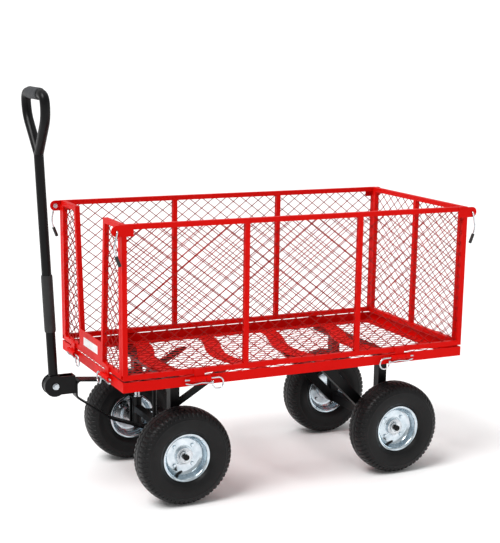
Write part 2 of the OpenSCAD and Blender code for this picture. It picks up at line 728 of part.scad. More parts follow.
// two pressed halves that meet in the middle plane, held by four bolts
module rim() color("lightsteelblue") {
    t = 2;
    lip = rim_d / 2;
    well = lip - 6 - t;
    web = well - 10;
    half_profile = [[lip, rim_w / 2], [lip, rim_w / 2 - t], [well + t, rim_w / 2 - 6],
        [well + t, 8], [web + t, 0], [hub_d / 2, 0], [hub_d / 2, t], [web, t], [well, 8 + t],
        [well, rim_w / 2 - 4], [lip - t, rim_w / 2]];
    bolt_r = (web + hub_d / 2) / 2;
    difference() {
        for (s = [0, 1]) mirror([0, 0, s]) rotate_extrude($fn = 96) polygon(half_profile);
        at_valve() translate([0, 0, -3]) cylinder(d = valve_d, h = 12, $fn = fn_ball);
    }
    for (a = [45 : 90 : 315]) rotate([0, 0, a]) translate([bolt_r, 0, 0])
        cylinder(d = 11, h = 2 * t + 8, center = true, $fn = 6);
}

// a hub tube that carries two bearings
module hub() color("silver") difference() {
    cylinder(d = hub_d, h = hub_l, center = true, $fn = fn_round);
    cylinder(d = axle_d + 2 * run_fit, h = hub_l + 2, center = true, $fn = fn_round);
    difference() {
        cylinder(d = hub_d - 8, h = hub_l - 20, center = true, $fn = fn_round);
        cylinder(d = axle_d + 4, h = hub_l, center = true, $fn = fn_round);
    }
}

// children are drawn along the valve's axis, from the slope of the rim's outer half
valve_d = 8;
module at_valve() rotate([0, 0, 250]) translate([rim_d / 2 - 13, 0, 6]) rotate([0, -38, 0]) children();

module valve() color([0.08, 0.08, 0.08]) at_valve() {
    translate([0, 0, -3]) cylinder(d = valve_d, h = 16, $fn = fn_ball);
    translate([0, 0, 13]) cylinder(d = valve_d - 2, h = 8, $fn = fn_ball);
}

module tyre_front_left() wheel_at(front_x, -1) tyre();
module tyre_front_right() wheel_at(front_x, 1) tyre();
module tyre_rear_left() wheel_at(rear_x, -1) tyre();
module tyre_rear_right() wheel_at(rear_x, 1) tyre();
module rim_front_left() wheel_at(front_x, -1) rim();
module rim_front_right() wheel_at(front_x, 1) rim();
module rim_rear_left() wheel_at(rear_x, -1) rim();
module rim_rear_right() wheel_at(rear_x, 1) rim();
module hub_front_left() wheel_at(front_x, -1) hub();
module hub_front_right() wheel_at(front_x, 1) hub();
module hub_rear_left() wheel_at(rear_x, -1) hub();
module hub_rear_right() wheel_at(rear_x, 1) hub();
module valve_front_left() wheel_at(front_x, -1) valve();
module valve_front_right() wheel_at(front_x, 1) valve();
module valve_rear_left() wheel_at(rear_x, -1) valve();
module valve_rear_right() wheel_at(rear_x, 1) valve();

// ---- folding panels ----

// straight bars of width w in a flat outline, each from one point to another
module flat_bars(lines, w) for (b = lines) {
    run = b[1] - b[0];
    translate(b[0]) rotate(atan2(run.y, run.x)) translate([0, -w / 2]) square([norm(run), w]);
}

// stands a flat outline up behind y = y0, with thickness t
module stand_up(y0, t) translate([0, y0 + t, 0]) rotate([90, 0, 0]) linear_extrude(t) children();

// square tubes whose middle lines are given, trimmed to a panel of length l and hollow right through
module tube_panel(l, lines) difference() {
    stand_up(0, tube_w) intersection() {
        flat_bars(lines, tube_w);
        translate([-l / 2, 0]) square([l, panel_h]);
    }
    stand_up(tube_t, tube_w - 2 * tube_t) intersection() {
        flat_bars(lines, tube_w - 2 * tube_t);
        translate([-l / 2 - 1, tube_t]) square([l + 2, panel_h - 2 * tube_t]);
    }
}

// middle lines of a plain panel: two rails, two ends and posts at the given places
function rail(l, z) = [[-l / 2 - 1, z], [l / 2 + 1, z]];
function post(x) = [[x, 0], [x, panel_h]];
rail_low = tube_w / 2;
rail_high = panel_h - tube_w / 2;
function panel_lines(l, posts) = concat([rail(l, rail_low), rail(l, rail_high)],
    [for (x = concat([-(l - tube_w) / 2], posts, [(l - tube_w) / 2])) post(x)]);

// a sheet of panel mesh between two slanting edges, in the middle of the tubes' depth
module panel_mesh(edges) stand_up((tube_w - mesh_t) / 2, mesh_t) translate([0, tube_w])
    diamond_sheet(edges, panel_h - 2 * tube_w, diamond_w, diamond_h, mesh_strand);

// a sheet in each bay of a plain panel
module bay_meshes(l, posts) {
    lines = concat([-(l - tube_w) / 2], posts, [(l - tube_w) / 2]);
    for (i = [0 : len(lines) - 2]) {
        low = lines[i] + tube_w / 2;
        high = lines[i + 1] - tube_w / 2;
        panel_mesh([[low, low], [high, high]]);
    }
}

module on_side(side) place() {
    if (side == "left") translate([0, -side_y, panel_z]) children();
    if (side == "right") translate([0, side_y, panel_z]) mirror([0, 1, 0]) children();
    if (side == "front") translate([-end_x, 0, panel_z]) rotate([0, 0, -90]) children();
    if (side == "rear") translate([end_x, 0, panel_z]) rotate([0, 0, 90]) children();
}

long_posts = [-1, 1] * (tray_l - tube_w) / 6;
ear_z = latch_z - panel_z;

// round-ended ears that carry the latches, at both ends of a long panel
module ears() for (s = [-1, 1]) difference() {
    union() {
        translate([s * latch_x, 0, ear_z]) rotate([90, 0, 0]) cylinder(r = ear_r, h = ear_t, $fn = fn_round);
        box([min(s * latch_x, s * (end_x - 30)), -ear_t, ear_z - ear_r],
            [max(s * latch_x, s * (end_x - 30)), 0, ear_z + ear_r]);
    }
    translate([s * latch_x, 1, ear_z]) rotate([90, 0, 0])
        cylinder(d = hook_d + 2 * slip_fit, h = ear_t + 2, $fn = fn_round);
}

module long_panel(side) color("red") {
    on_side(side) {
        tube_panel(tray_l, panel_lines(tray_l, long_posts));
        ears();
    }
    place() panel_knuckles(side);
}

module long_mesh(side) on_side(side) color("indianred") bay_meshes(tray_l, long_posts);

module panel_left() long_panel("left");
module panel_right() long_panel("right");
module mesh_left() long_mesh("left");
module mesh_right() long_mesh("right");

module panel_rear() color("red") {
    on_side("rear") tube_panel(2 * end_panel_y, panel_lines(2 * end_panel_y, [0]));
    place() panel_knuckles("rear");
}

module mesh_rear() on_side("rear") color("indianred") bay_meshes(2 * end_panel_y, [0]);

// half width of the notch to its posts' middle lines, at a height in the panel
function notch_half(z) = notch_bottom + (notch_top - notch_bottom) * z / panel_h;

// a panel with a tapered notch that lets it fold down past the standing handle
module panel_front() color("red") {
    l = 2 * end_panel_y;
    plate_z = tube_w + low_plate_h;
    notch = notch_half(plate_z);
    sides = concat([rail(l, rail_low)], [for (s = [-1, 1]) each [
        post(s * (l - tube_w) / 2),
        [[s * notch_half(0), 0], [s * notch_half(panel_h), panel_h]],
        s < 0 ? [[-l / 2 - 1, rail_high], [-notch_half(rail_high), rail_high]]
            : [[notch_half(rail_high), rail_high], [l / 2 + 1, rail_high]]]]);
    on_side("front") {
        tube_panel(l, sides);
        stand_up(0, low_plate_t) polygon([[-notch_half(tube_w), tube_w - 1],
            [notch_half(tube_w), tube_w - 1], [notch, plate_z], [-notch, plate_z]]);
    }
    place() panel_knuckles("front");
}

// two wings of mesh, one on each side of the notch
module mesh_front() on_side("front") color("indianred") {
    outer = end_panel_y - tube_w;
    slant = (notch_top - notch_bottom) / panel_h;
    face = tube_w / 2 * sqrt(1 + slant * slant);
    low = notch_half(tube_w) + face;
    high = notch_half(panel_h - tube_w) + face;
    for (s = [0, 1]) mirror([s, 0, 0]) panel_mesh([[low, high], [outer, outer]]);
}

// a plain plate on the low plate
module name_plate() on_side("front") color("white") box([-57, -0.8, 24], [57, 0, 46]);

// a wire hook that hangs from a leg through its ear: the tray is at -x and its middle at +y
hook_line = [[0, 0], [8, -36], [8, -48], [4, -61]];
hook_tip = [-6, -87];
hook_leg = ear_t + hook_d / 2 + 7;
module hook() color("silver") {
    corner = hook_line[3];
    run = hook_tip - corner;
    sleeve_end = norm(run) - 3;
    wire(concat([[0, hook_leg, 0]], [for (p = hook_line) [p.x, 0, p.y]]), hook_d - ball_extra);
    translate([corner.x, 0, corner.y]) rotate([0, atan2(run.x, run.y), 0]) {
        cylinder(d = hook_sleeve_d, h = sleeve_end, $fn = fn_ball);
        translate([0, 0, sleeve_end]) cylinder(d = hook_d - 1, h = 3, $fn = fn_ball);
    }
}

// a push-on washer at the inner end of a hook's leg
module hook_washer() color("silver") translate([0, hook_leg - 2, 0]) rotate([90, 0, 0]) difference() {
    cylinder(d = hook_washer_d, h = 2.5, $fn = fn_round);
    translate([0, 0, -1]) cylinder(d = hook_d, h = 5, $fn = fn_round);
}

module hook_at(sx, sy) place() translate([sx * latch_x, sy * hook_y, latch_z])
    mirror([sx < 0 ? 1 : 0, 0, 0]) mirror([0, sy > 0 ? 1 : 0, 0]) children();

module hook_front_left() hook_at(-1, -1) hook();
module hook_front_right() hook_at(-1, 1) hook();
module hook_rear_left() hook_at(1, -1) hook();
module hook_rear_right() hook_at(1, 1) hook();
module hook_washer_front_left() hook_at(-1, -1) hook_washer();
module hook_washer_front_right() hook_at(-1, 1) hook_washer();
module hook_washer_rear_left() hook_at(1, -1) hook_washer();
module hook_washer_rear_right() hook_at(1, 1) hook_washer();

base_frame();
deck_mesh();
deck_straps();
cross_members();
hinge_lugs();
hinge_clips();
front_posts();
front_beam();
front_braces();
kingpins();
king_washers();
rear_posts();
rear_braces();
rear_axle();
rear_retainers();
drawbar_strap();
handle_clevis();
pivot_bolt();
tie_rod();
handle_tube();
handle_hub();
handle_sleeve();
handle_grip();
knuckle_left();
retainer_left();
knuckle_right();
retainer_right();
tyre_front_left();
rim_front_left();
hub_front_left();
valve_front_left();
tyre_front_right();
rim_front_right();
hub_front_right();
valve_front_right();
tyre_rear_left();
rim_rear_left();
hub_rear_left();
valve_rear_left();
tyre_rear_right();
rim_rear_right();
hub_rear_right();
valve_rear_right();
panel_left();
mesh_left();
panel_right();
mesh_right();
panel_front();
mesh_front();
name_plate();
panel_rear();
mesh_rear();
hook_front_left();
hook_front_right();
hook_rear_left();
hook_rear_right();
hook_washer_front_left();
hook_washer_front_right();
hook_washer_rear_left();
hook_washer_rear_right();
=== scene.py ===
"""Garden cart: the visible surfaces and finishes that go round its CAD frame, and the studio round it."""

import json

import bmesh
import bpy
import numpy as np
from bpy.props import FloatProperty, FloatVectorProperty, IntProperty, PointerProperty
from mathutils import Matrix, Vector


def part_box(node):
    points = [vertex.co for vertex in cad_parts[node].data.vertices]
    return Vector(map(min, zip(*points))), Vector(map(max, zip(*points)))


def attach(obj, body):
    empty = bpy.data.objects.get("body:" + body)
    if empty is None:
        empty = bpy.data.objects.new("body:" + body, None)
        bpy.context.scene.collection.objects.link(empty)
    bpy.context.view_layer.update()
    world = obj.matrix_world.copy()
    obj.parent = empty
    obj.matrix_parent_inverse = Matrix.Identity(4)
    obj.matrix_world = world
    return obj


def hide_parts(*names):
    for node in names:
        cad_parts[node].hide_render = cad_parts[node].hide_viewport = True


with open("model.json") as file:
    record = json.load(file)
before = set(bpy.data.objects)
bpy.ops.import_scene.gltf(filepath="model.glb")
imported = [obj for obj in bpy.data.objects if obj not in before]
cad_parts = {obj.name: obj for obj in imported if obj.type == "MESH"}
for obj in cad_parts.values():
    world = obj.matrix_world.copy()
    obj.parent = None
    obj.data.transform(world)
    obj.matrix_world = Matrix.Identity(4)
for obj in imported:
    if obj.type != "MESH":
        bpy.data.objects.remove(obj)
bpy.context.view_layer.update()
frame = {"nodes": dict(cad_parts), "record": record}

bl_info = {
    "name": "Garden cart",
    "version": (1, 0, 0),
    "blender": (4, 5, 0),
    "location": "3D View > Sidebar > Cart",
    "description": "Wheels, wire mesh, clips, handle and finishes for a folding-side garden cart",
    "category": "Object",
}

MM = 0.001
WHEELS = ("front_left", "front_right", "rear_left", "rear_right")
SIDES = ("left", "right", "front", "rear")
FLOOR_REACH = 30.0
FLOOR_STEPS = 61
HINGE_OUT = 8.5
HINGE_DOWN = 8
SIDE_HINGE_IN = 205
END_HINGE_OFF = 140
CLIP_RADIUS = 2.2
HOOK_RADIUS = 2.3
HOOK_SLEEVE_RADIUS = 4.4
HANDLE_LEAN = 2.4
HANDLE_REACH = 757


def node_box(name):
    """Lowest and highest corner of a CAD node, in millimetres."""
    low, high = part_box(name)
    return np.array(low) / MM, np.array(high) / MM


def middle(name):
    """Centre of a CAD node's box, in millimetres."""
    low, high = node_box(name)
    return (low + high) / 2


# ---- colour and nodes ----


def linear(hex_colour):
    """sRGB hex to linear light: the low end is a straight line and the rest a power of 2.4."""
    srgb = np.array([int(hex_colour[i : i + 2], 16) for i in (1, 3, 5)]) / 255
    return np.where(srgb <= 0.04045, srgb / 12.92, ((srgb + 0.055) / 1.055) ** 2.4).tolist()


def colour(hex_colour):
    return [*linear(hex_colour), 1.0]


def add_node(tree, kind, settings=None, inputs=None):
    """Adds one shader node. A value in inputs is a socket to link from, or a setting."""
    made = tree.nodes.new(kind)
    for key, value in (settings or {}).items():
        setattr(made, key, value)
    for key, value in (inputs or {}).items():
        if isinstance(value, bpy.types.NodeSocket):
            tree.links.new(value, made.inputs[key])
        else:
            made.inputs[key].default_value = value
    return made


def finish(name, tint, rough=None, relief=None, **plain):
    """A material built on object coordinates. Each layer is a noise whose cells are about so many mm across.

    tint is (cell mm, detail, fineness, (place, colour), (place, colour)): the noise blends the two colours between
    its two places. rough is (cell mm, detail, low, high): 0.3 to 0.7 of the noise is stretched over low to high.
    relief is (cell mm, detail, depth mm, strength): the noise lifts the surface. plain holds the shader's other
    inputs by name."""
    made = bpy.data.materials.new(name)
    made.use_nodes = True
    tree = made.node_tree
    tree.nodes.clear()
    place = add_node(tree, "ShaderNodeTexCoord").outputs["Object"]
    layers = [tint[:3], (*rough[:2], 0.5) if rough else None, (*relief[:2], 0.5) if relief else None]
    fields = []
    for layer in layers:
        if layer is None:
            fields.append(None)
            continue
        cell_mm, detail, fineness = layer
        inputs = {"Vector": place, "Scale": 1 / (cell_mm * MM), "Detail": detail, "Roughness": fineness}
        fields.append(add_node(tree, "ShaderNodeTexNoise", inputs=inputs).outputs["Fac"])
    blend = add_node(tree, "ShaderNodeValToRGB", inputs={"Fac": fields[0]})
    for element, (at, shade) in zip(blend.color_ramp.elements, tint[3:]):
        element.position = at
        element.color = colour(shade)
    inputs = {"Base Color": blend.outputs["Color"]}
    if rough:
        span = {"Value": fields[1], "From Min": 0.3, "From Max": 0.7, "To Min": rough[2], "To Max": rough[3]}
        inputs["Roughness"] = add_node(tree, "ShaderNodeMapRange", inputs=span).outputs["Result"]
    if relief:
        lift = {"Height": fields[2], "Distance": relief[2] * MM, "Strength": relief[3]}
        inputs["Normal"] = add_node(tree, "ShaderNodeBump", inputs=lift).outputs["Normal"]
    inputs.update({key.replace("_", " "): value for key, value in plain.items()})
    shader = add_node(tree, "ShaderNodeBsdfPrincipled", inputs=inputs)
    add_node(tree, "ShaderNodeOutputMaterial", inputs={"Surface": shader.outputs["BSDF"]})
    return made


def powder_coat(name, light, dark, gloss, shine):
    """Polyester powder coat: a deep even colour under a hard film, with a faint orange peel."""
    tint = (70, 3, 0.5, (0.3, dark), (0.7, light))
    return finish(name, tint, (25, 3, gloss - 0.04, gloss + 0.06), (3.5, 1, 0.04, 0.4), Specular_IOR_Level=shine)


def zinc_plate(name, light, dark, gloss):
    """Bright zinc: a bluish white metal whose passivated film clouds it in soft patches."""
    tint = (18, 4, 0.5, (0.3, dark), (0.7, light))
    return finish(name, tint, (9, 3, gloss - 0.05, gloss + 0.09), (4, 2, 0.04, 0.6), Metallic=1.0)


def tyre_rubber():
    """Carbon-black rubber from a mould: matt, with a grey bloom and a fine pebble."""
    tint = (22, 5, 0.6, (0.35, "#0a0a0b"), (0.7, "#111112"))
    return finish("moulded_tyre_rubber", tint, (12, 4, 0.34, 0.46), (1.2, 2, 0.08, 0.5), Specular_IOR_Level=0.22)


def foam_grip():
    """Closed-cell foam: dark grey skin with fine pores."""
    tint = (14, 4, 0.5, (0.3, "#2b2c2f"), (0.7, "#3a3b3e"))
    return finish("closed_cell_foam", tint, (5, 3, 0.6, 0.8), (0.9, 3, 0.15, 0.7))


def vinyl_sleeve(name="dipped_vinyl"):
    """Dipped PVC: satin black with a soft uneven skin."""
    tint = (20, 3, 0.5, (0.3, "#0d0d0e"), (0.7, "#161617"))
    return finish(name, tint, (8, 3, 0.42, 0.6), (2.0, 2, 0.06, 0.5))


def printed_plate():
    """A blank vinyl plate: white, satin, with a slightly dusty film."""
    return finish("white_vinyl_plate", (12, 3, 0.5, (0.3, "#dcdcdc"), (0.7, "#efefee")), (6, 2, 0.35, 0.5))


def studio_floor():
    """Painted studio floor: pale, matt, with the faintest cloud."""
    tint = (900, 2, 0.5, (0.2, "#f8f8f8"), (0.8, "#fcfcfc"))
    return finish("matt_white_paint", tint, Roughness=0.85, Specular_IOR_Level=0.2)


# ---- surfaces ----


def quads(nu, nv, wrap_u, wrap_v):
    """Corner numbers of every cell of an nu by nv grid, joined up where it wraps."""
    i = np.arange(nu if wrap_u else nu - 1)[:, None]
    j = np.arange(nv if wrap_v else nv - 1)[None, :]
    i2, j2 = (i + 1) % nu, (j + 1) % nv
    return np.stack([i * nv + j, i2 * nv + j, i2 * nv + j2, i * nv + j2], -1).reshape(-1, 4)


def outward(points, faces):
    """Turns the faces over if the volume that they enclose comes out negative."""
    a, b, c, d = (points[faces[:, k]] for k in range(4))
    volume = np.einsum("ij,ij->i", a, np.cross(b, c)).sum() + np.einsum("ij,ij->i", a, np.cross(c, d)).sum()
    return faces[:, ::-1] if volume < 0 else faces


def piece(name, grids, material, body, replaces=(), sharp=35.0):
    """One object from closed grids of points in millimetres, each (points, wraps along u, wraps along v)."""
    points, faces, first = [], [], 0
    for grid, wrap_u, wrap_v in grids:
        nu, nv = grid.shape[:2]
        flat = grid.reshape(-1, 3)
        faces.append(outward(flat - flat.mean(0), quads(nu, nv, wrap_u, wrap_v)) + first)
        points.append(flat)
        first += nu * nv
    points, faces = np.concatenate(points) * MM, np.concatenate(faces)
    mesh = bpy.data.meshes.new(name)
    mesh.vertices.add(len(points))
    mesh.vertices.foreach_set("co", points.ravel())
    mesh.loops.add(faces.size)
    mesh.loops.foreach_set("vertex_index", faces.ravel())
    mesh.polygons.add(len(faces))
    mesh.polygons.foreach_set("loop_start", np.arange(0, faces.size, 4))
    mesh.update(calc_edges=True)
    work = bmesh.new()
    work.from_mesh(mesh)
    bmesh.ops.remove_doubles(work, verts=work.verts, dist=1e-6)
    bmesh.ops.dissolve_degenerate(work, edges=work.edges, dist=1e-7)
    work.to_mesh(mesh)
    work.free()
    mesh.polygons.foreach_set("use_smooth", np.ones(len(mesh.polygons), bool))
    mesh.set_sharp_from_angle(angle=np.radians(sharp))
    mesh.materials.append(material)
    made = bpy.data.objects.new(name, mesh)
    bpy.context.scene.collection.objects.link(made)
    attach(made, body)
    if replaces:
        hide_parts(*replaces)
    return made


def smooth_line(points, per_span=6):
    """A curve through the points, whose slope at each one is half the step from its neighbour before to after."""
    p = np.array(points, float)
    before = np.vstack([2 * p[0] - p[1], p[:-1]])[:-1]
    after = np.vstack([p[1:], 2 * p[-1] - p[-2]])[1:]
    t = np.linspace(0, 1, per_span, endpoint=False)[None, :, None]
    a, b = p[:-1, None], p[1:, None]
    ma, mb = (b - before[:, None]) / 2, (after[:, None] - a) / 2
    curve = (2 * t**3 - 3 * t**2 + 1) * a + (t**3 - 2 * t**2 + t) * ma + (3 * t**2 - 2 * t**3) * b
    curve = curve + (t**3 - t**2) * mb
    return np.vstack([curve.reshape(-1, p.shape[1]), p[-1]])


def rounded(points, radius, steps=7):
    """A polyline whose corners are replaced by quadratic curves that start radius-deep before each corner."""
    p = np.array(points, float)
    out = [p[:1]]
    t = np.linspace(0, 1, steps)[:, None]
    for k in range(1, len(p) - 1):
        back, ahead = p[k - 1] - p[k], p[k + 1] - p[k]
        reach = min(radius, np.linalg.norm(back) * 0.49, np.linalg.norm(ahead) * 0.49)
        a = p[k] + back / np.linalg.norm(back) * reach
        b = p[k] + ahead / np.linalg.norm(ahead) * reach
        out.append((1 - t) ** 2 * a + 2 * t * (1 - t) * p[k] + t**2 * b)
    out.append(p[-1:])
    return np.vstack(out)


def sweep(path, radius, flat_normal, sides=16, closed=False, round_ends=0.0):
    """A round bar: a circle carried square to a path that lies in one plane. Its ends close to a point."""
    path = np.array(path, float)
    n = np.array(flat_normal, float)
    n /= np.linalg.norm(n)
    if closed:
        along = np.roll(path, -1, 0) - np.roll(path, 1, 0)
    else:
        along = np.gradient(path, axis=0)
    along /= np.linalg.norm(along, axis=1)[:, None]
    across = np.cross(along, n)
    size = np.broadcast_to(np.array(radius, float), len(path)).copy()
    angle = np.linspace(0, 2 * np.pi, sides, endpoint=False)
    ring = np.cos(angle)[None, :, None] * n + np.sin(angle)[None, :, None] * across[:, None]
    tube = path[:, None] + size[:, None, None] * ring
    if closed:
        return tube, True, True
    step = round_ends if round_ends else 1e-3
    turn = np.linspace(0, np.pi / 2, 4)[:, None, None]
    first = path[0] - along[0] * step * np.cos(turn) + size[0] * np.sin(turn) * ring[0]
    last = path[-1] + along[-1] * step * np.cos(turn[::-1]) + size[-1] * np.sin(turn[::-1]) * ring[-1]
    return np.concatenate([first[:-1], tube, last[1:]]), False, True


def bent_bar(path, radius, sides=12):
    """A round bar along any path: each ring stands square to the path, with its first spoke square to one fixed
    direction as well."""
    path = np.array(path, float)
    along = np.gradient(path, axis=0)
    along /= np.linalg.norm(along, axis=1)[:, None]
    spoke = np.cross(along, [0.31, 0.17, 0.93])
    spoke /= np.linalg.norm(spoke, axis=1)[:, None]
    other = np.cross(along, spoke)
    angle = np.linspace(0, 2 * np.pi, sides, endpoint=False)[None, :, None]
    ring = np.cos(angle) * spoke[:, None] + np.sin(angle) * other[:, None]
    tube = path[:, None] + radius * ring
    ends = [np.repeat(path[k][None, None], sides, 1) for k in (0, -1)]
    return np.concatenate([ends[0], tube, ends[1]]), False, True


def revolve(profile, centre, steps=96, axis_side=-1.0):
    """A ring round the Y axis through centre: profile holds closed (radius, outward distance) pairs."""
    angle = np.linspace(0, 2 * np.pi, steps, endpoint=False)[:, None]
    r, out = np.array(profile, float).T
    x, z = r * np.cos(angle), r * np.sin(angle)
    y = np.broadcast_to(out * axis_side, x.shape)
    return np.stack([x, y, z], -1) + centre, True, True


# ---- settings ----


class CartWheelSettings(bpy.types.PropertyGroup):
    """Sizes of the tyres' tread and the rims."""

    lugs: IntProperty(name="Tread blocks", description="Blocks round each shoulder of a tyre", default=58, min=12, max=90)
    groove: FloatProperty(
        name="Groove depth", description="Depth of the grooves between the blocks", default=2.4 * MM, unit="LENGTH"
    )
    bolt_circle: FloatProperty(
        name="Rim bolt circle", description="Radius of the circle of rim bolts", default=35.5 * MM, unit="LENGTH"
    )


class CartWireSettings(bpy.types.PropertyGroup):
    """Sizes of the wires and mesh."""

    mesh_wire: FloatProperty(
        name="Mesh wire", description="Diameter of the side panels' mesh wire", default=2.3 * MM, unit="LENGTH"
    )
    diamond_width: FloatProperty(
        name="Diamond width", description="Long way of a side panel's diamond", default=40.5 * MM, unit="LENGTH"
    )
    deck_long: FloatProperty(
        name="Deck opening, long", description="Long way of a deck opening", default=42 * MM, unit="LENGTH"
    )
    deck_short: FloatProperty(
        name="Deck opening, short", description="Short way of a deck opening", default=30 * MM, unit="LENGTH"
    )
    deck_strand: FloatProperty(
        name="Deck strand", description="Thickness of a deck strand", default=2.0 * MM, unit="LENGTH"
    )
    handle_tube: FloatProperty(
        name="Handle tube", description="Diameter of the handle's tube", default=25 * MM, unit="LENGTH"
    )
    diamond_height: FloatProperty(
        name="Diamond height", description="Short way of a side panel's diamond", default=30.75 * MM, unit="LENGTH"
    )


class CartStageSettings(bpy.types.PropertyGroup):
    """Light and camera of the studio."""

    key_power: FloatProperty(name="Key light", description="Strength of the broad sun-like light", default=2.7)
    fill_power: FloatProperty(name="Fill light", description="Power of the fill lights", default=16.0, subtype="POWER")
    room: FloatProperty(name="Room", description="Strength of the light from all round", default=0.55)
    lens: FloatProperty(name="Lens", description="Focal length of the camera", default=83.8, subtype="DISTANCE_CAMERA")
    sky: FloatVectorProperty(
        name="Surroundings", description="Colour of the light from all round", default=(1.0, 1.0, 1.0), size=3,
        subtype="COLOR", min=0, max=1
    )


# ---- pieces ----


def material(name):
    found = bpy.data.materials.get(name)
    if found is None:
        raise RuntimeError(f"the finish {name} hasn't been made yet")
    return found


class CART_OT_finishes(bpy.types.Operator):
    """Makes every finish and puts one on each CAD node that stays in view"""

    bl_idname = "cart.finishes"
    bl_label = "Finishes"

    def execute(self, context):
        finishes = {
            "frame_red": powder_coat("red_powder_coat", "#d40d07", "#ca0b06", 0.36, 0.05),
            "mesh_red": powder_coat("red_dipped_wire", "#a81612", "#86130f", 0.5, 0.1),
            "deck_coat": powder_coat("red_dipped_deck", "#b81a16", "#9c1612", 0.45, 0.1),
            "gear_black": powder_coat("black_powder_coat", "#0d0d0e", "#080809", 0.32, 0.16),
            "zinc": zinc_plate("bright_zinc", "#e4e9ec", "#b4bcc2", 0.24),
            "rim_zinc": zinc_plate("pressed_zinc_steel", "#dfe9ef", "#b4c3cc", 0.17),
            "tyre_rubber": tyre_rubber(),
            "valve_rubber": vinyl_sleeve("black_valve_rubber"),
            "grip_foam": foam_grip(),
            "sleeve_vinyl": vinyl_sleeve(),
            "plate_white": printed_plate(),
        }
        for sub in frame["record"]["subparts"]:
            node = frame["nodes"][sub["node"]]
            node.data.materials.clear()
            node.data.materials.append(finishes[sub["material_slot"]])
        return {"FINISHED"}


class CART_OT_tyres(bpy.types.Operator):
    """Makes the four tyres, with shoulder blocks, a zigzag groove and sidewall rings"""

    bl_idname = "cart.tyres"
    bl_label = "Tyres"

    def execute(self, context):
        opts = context.scene.cart_wheels
        half_line = smooth_line(
            [(60, 22), (65.4, 27), (71, 33), (77, 37.4), (84, 40), (92, 41.5), (100, 41.8), (108, 41), (115, 39),
             (121, 35.2), (125.5, 29.5), (128, 22), (129.3, 12), (129.7, 0)], 5)
        line = np.vstack([half_line, half_line[-2::-1] * [1, -1]])
        radius, side = line.T
        angle = np.linspace(0, 2 * np.pi, 528, endpoint=False)[:, None]
        turn = angle / (2 * np.pi) * opts.lugs
        # blocks: a square wave round the tyre, staggered on the two shoulders and slanted across the tread
        wave = np.abs(((turn + 0.012 * side + np.where(side > 0, 0.5, 0)) % 1) - 0.5) * 2
        block = np.clip((wave - 0.26) / 0.14, 0, 1)
        shoulder = np.clip((radius - 112) / 4, 0, 1) * np.clip((np.abs(side) - 13) / 2, 0, 1)
        middle_cut = np.clip(1 - np.abs(np.abs(side + 2.2 * np.sin(turn * 2 * np.pi)) - 9) / 2.2, 0, 1)
        depth = opts.groove / MM * np.maximum(shoulder * (1 - block), middle_cut * (radius > 120))
        ring = 0.9 * np.exp(-((radius - 106.5) / 0.9) ** 2) + 0.7 * np.exp(-((radius - 78) / 0.8) ** 2)
        slope = np.gradient(line, axis=0)
        normal = np.stack([-slope[:, 1], slope[:, 0]], -1) / np.linalg.norm(slope, axis=1)[:, None]
        normal *= np.where(normal[:, 0] + normal[:, 1] * np.sign(side) < 0, -1, 1)[:, None]
        move = (ring - depth)[..., None] * normal
        r = radius + move[..., 0]
        out = side + move[..., 1]
        inner = np.array([(60, 14), (68, 18), (75, 27), (88, 32), (104, 31), (115, 22), (120, 0)])
        inner = np.vstack([inner[::-1] * [1, -1], inner[:-1]])
        inner = inner[np.argsort(inner[:, 1])]
        for name in WHEELS:
            centre = middle("tyre_" + name)
            sign = -1.0 if centre[1] < 0 else 1.0
            r_all = np.hstack([r, np.broadcast_to(inner[:, 0], (len(angle), len(inner)))])
            out_all = np.hstack([out, np.broadcast_to(inner[:, 1], (len(angle), len(inner)))])
            tyre = np.stack([r_all * np.cos(angle), out_all * sign, r_all * np.sin(angle)], -1) + centre
            piece("tyre_skin_" + name, [(tyre, True, True)], material("moulded_tyre_rubber"), "wheel_" + name,
                  ["tyre_" + name], sharp=50)
        return {"FINISHED"}


class CART_OT_rims(bpy.types.Operator):
    """Makes the four pressed rims with their bolts, and the bearing faces of the hubs"""

    bl_idname = "cart.rims"
    bl_label = "Rims"

    def execute(self, context):
        opts = context.scene.cart_wheels
        face = [(23, 3), (25.5, 3), (28, 2.2), (44, 2.2), (48.5, 4.2), (52.5, 8), (55, 13), (56.5, 20), (57.6, 25.5),
                (60.5, 28.6), (64.2, 29.9)]
        face = smooth_line(face, 4)
        back = face[::-1] + [1.2, -1.8]
        back[-8:, 0] = face[::-1][-8:, 0]
        half = np.vstack([face, [(65.2, 29.4)], back])
        half[:, 1] = np.maximum(half[:, 1], 0.0)
        for name in WHEELS:
            centre = middle("rim_" + name)
            sign = -1.0 if centre[1] < 0 else 1.0
            grids = [revolve(half, centre, 120, sign), revolve(half, centre, 120, -sign)]
            for k in range(4):
                a = np.radians(45 + 90 * k)
                spot = centre + opts.bolt_circle / MM * np.array([np.cos(a), 0, np.sin(a)])
                for s in (-1, 1):
                    bolt = [(0, 2.0), (6.2, 2.0), (6.2, 2.6), (5.3, 2.9), (5.0, 5.4), (4.4, 6.2), (0, 6.4)]
                    grids.append(revolve(bolt, spot, 6, s))
            piece("rim_skin_" + name, grids, material("pressed_zinc_steel"), "wheel_" + name,
                  ["rim_" + name], sharp=40)
            hub = [(8.05, -14), (22.6, -14), (23, -13.6), (23, 13.4), (22.4, 14), (20.6, 14), (20.2, 13), (18.4, 12.6),
                   (18, 13.3), (13.2, 13.3), (12.8, 12.6), (11, 12.6), (10.6, 13.8), (8.05, 13.8)]
            piece("hub_skin_" + name, [revolve(hub, middle("hub_" + name), 64, sign)], material("bright_zinc"),
                  "wheel_" + name, ["hub_" + name], sharp=30)
        return {"FINISHED"}


